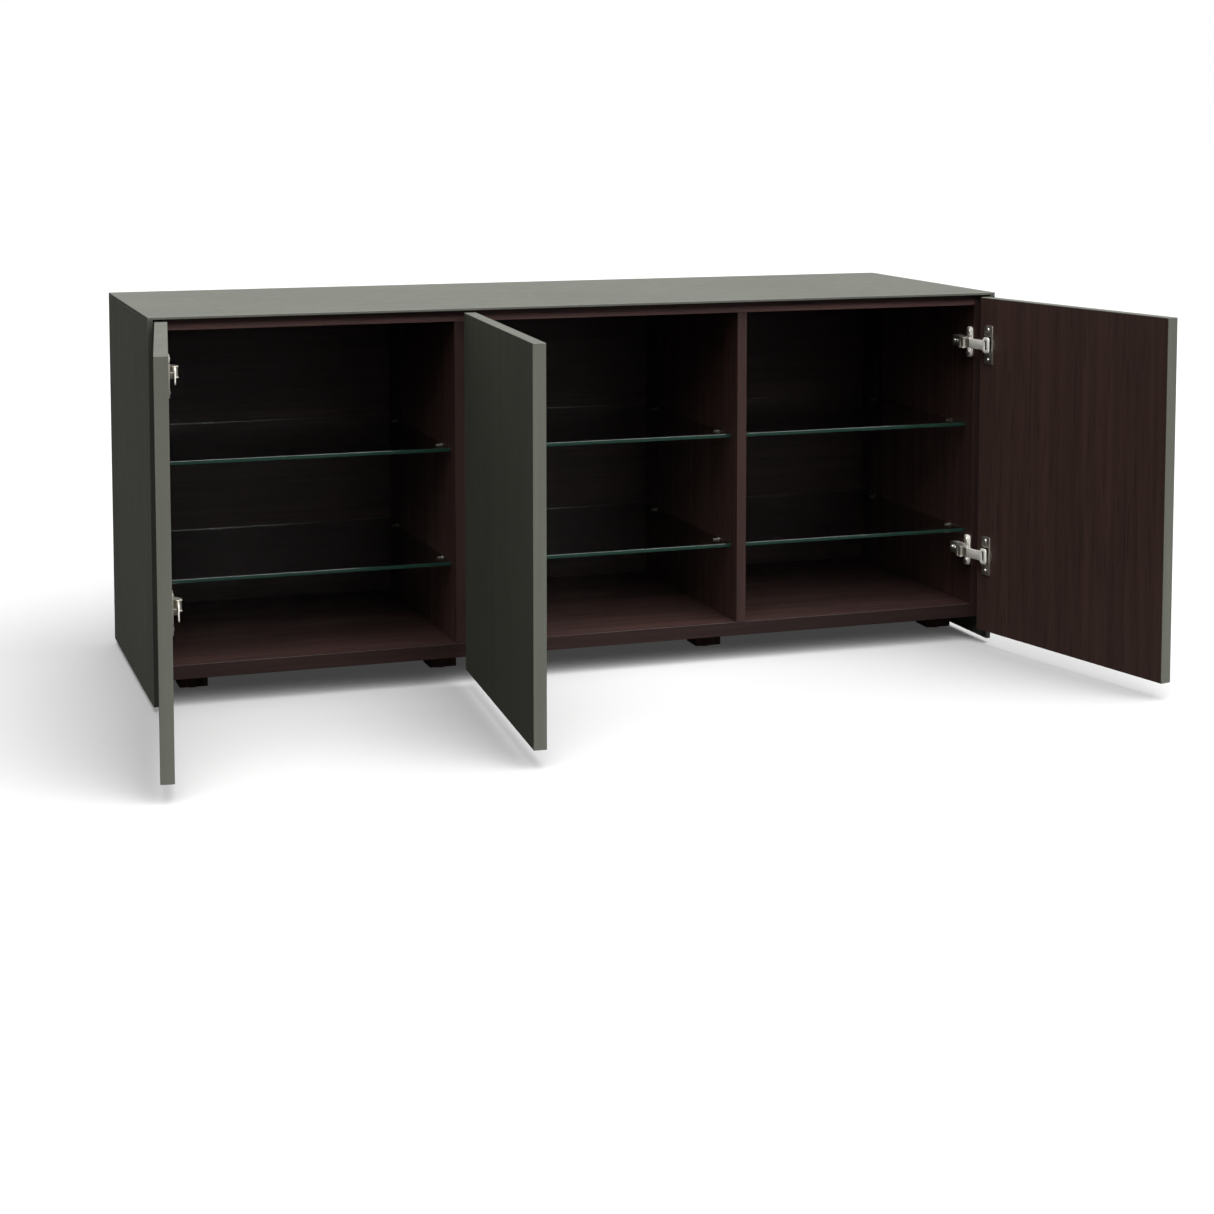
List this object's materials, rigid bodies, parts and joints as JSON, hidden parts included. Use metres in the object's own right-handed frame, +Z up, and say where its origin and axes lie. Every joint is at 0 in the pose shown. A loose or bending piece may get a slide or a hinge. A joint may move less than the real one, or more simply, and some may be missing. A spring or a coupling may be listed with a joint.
{
  "type": "media cabinet",
  "caption": "Low media cabinet: grey lacquer shell and doors, dark wood carcass, glass shelves in hinged bays, short block feet.",
  "frame": {"origin": "on the floor, under the middle of the box around the cabinet with its doors open as stored", "axes": "+X to the right along the width when facing the doors, +Y towards the back, +Z up"},
  "size_m": [1.5356, 0.9452, 0.594],
  "materials": {
    "lacquer": "satin grey-olive lacquer on board",
    "top_lacquer": "satin back-painted glass, grey-olive, opaque",
    "wenge": "dark open-grain veneer, satin",
    "shelf_glass": "clear float glass with green edges",
    "hinge_nickel": "nickel-plated pressed steel",
    "glide_plastic": "moulded black plastic"
  },
  "bodies": {
    "cabinet": {"top_slab": "top_lacquer", "outer_side_left": "lacquer", "outer_side_right": "lacquer", "inner_side_left": "wenge", "inner_side_right": "wenge", "carcass_top": "wenge", "carcass_floor": "wenge", "back_panel": "wenge", "divider_left": "wenge", "divider_right": "wenge", "shelf_left_lower": "shelf_glass", "shelf_left_upper": "shelf_glass", "shelf_middle_lower": "shelf_glass", "shelf_middle_upper": "shelf_glass", "shelf_right_lower": "shelf_glass", "shelf_right_upper": "shelf_glass", "foot_front_outer_left": "wenge", "glide_front_outer_left": "glide_plastic", "foot_front_inner_left": "wenge", "glide_front_inner_left": "glide_plastic", "foot_front_inner_right": "wenge", "glide_front_inner_right": "glide_plastic", "foot_front_outer_right": "wenge", "glide_front_outer_right": "glide_plastic", "foot_rear_outer_left": "wenge", "glide_rear_outer_left": "glide_plastic", "foot_rear_inner_left": "wenge", "glide_rear_inner_left": "glide_plastic", "foot_rear_inner_right": "wenge", "glide_rear_inner_right": "glide_plastic", "foot_rear_outer_right": "wenge", "glide_rear_outer_right": "glide_plastic", "plate_left_lower": "hinge_nickel", "arm_left_lower": "hinge_nickel", "plate_left_upper": "hinge_nickel", "arm_left_upper": "hinge_nickel", "plate_middle_lower": "hinge_nickel", "arm_middle_lower": "hinge_nickel", "plate_middle_upper": "hinge_nickel", "arm_middle_upper": "hinge_nickel", "plate_right_lower": "hinge_nickel", "arm_right_lower": "hinge_nickel", "plate_right_upper": "hinge_nickel", "arm_right_upper": "hinge_nickel"},
    "door_left": {"door_left": "lacquer", "cup_left_lower": "hinge_nickel", "cup_left_upper": "hinge_nickel"},
    "links_left": {"link_left_lower": "hinge_nickel", "link_left_upper": "hinge_nickel"},
    "door_middle": {"door_middle": "lacquer", "cup_middle_lower": "hinge_nickel", "cup_middle_upper": "hinge_nickel"},
    "links_middle": {"link_middle_lower": "hinge_nickel", "link_middle_upper": "hinge_nickel"},
    "door_right": {"door_right": "lacquer", "cup_right_lower": "hinge_nickel", "cup_right_upper": "hinge_nickel"},
    "links_right": {"link_right_lower": "hinge_nickel", "link_right_upper": "hinge_nickel"}
  },
  "joints": [
    {"name": "door_left_swing", "type": "hinge", "parent": "cabinet", "child": "door_left", "pos_m": [-0.70241, -0.00241, 0.307], "axis": [0, 0, -1], "range_deg": [-98, 9]},
    {"name": "links_left_fold", "type": "hinge", "parent": "cabinet", "child": "links_left", "pos_m": [-0.66891, 0.02359, 0.332], "axis": [0, 0, -1], "range_deg": [-112.8, 10.45]},
    {"name": "door_middle_swing", "type": "hinge", "parent": "cabinet", "child": "door_middle", "pos_m": [-0.22941, -0.00241, 0.307], "axis": [0, 0, -1], "range_deg": [-94, 13]},
    {"name": "links_middle_fold", "type": "hinge", "parent": "cabinet", "child": "links_middle", "pos_m": [-0.19591, 0.02359, 0.332], "axis": [0, 0, -1], "range_deg": [-108.2, 15.05]},
    {"name": "door_right_swing", "type": "hinge", "parent": "cabinet", "child": "door_right", "pos_m": [0.67759, -0.00241, 0.307], "axis": [0, 0, 1], "range_deg": [-102, 5]},
    {"name": "links_right_fold", "type": "hinge", "parent": "cabinet", "child": "links_right", "pos_m": [0.64409, 0.02359, 0.332], "axis": [0, 0, 1], "range_deg": [-117.4, 5.85]}
  ],
  "couplings": [
    {"joint": "links_left_fold", "follows": "door_left_swing", "ratio": 1.15},
    {"joint": "links_middle_fold", "follows": "door_middle_swing", "ratio": 1.15},
    {"joint": "links_right_fold", "follows": "door_right_swing", "ratio": 1.15}
  ]
}
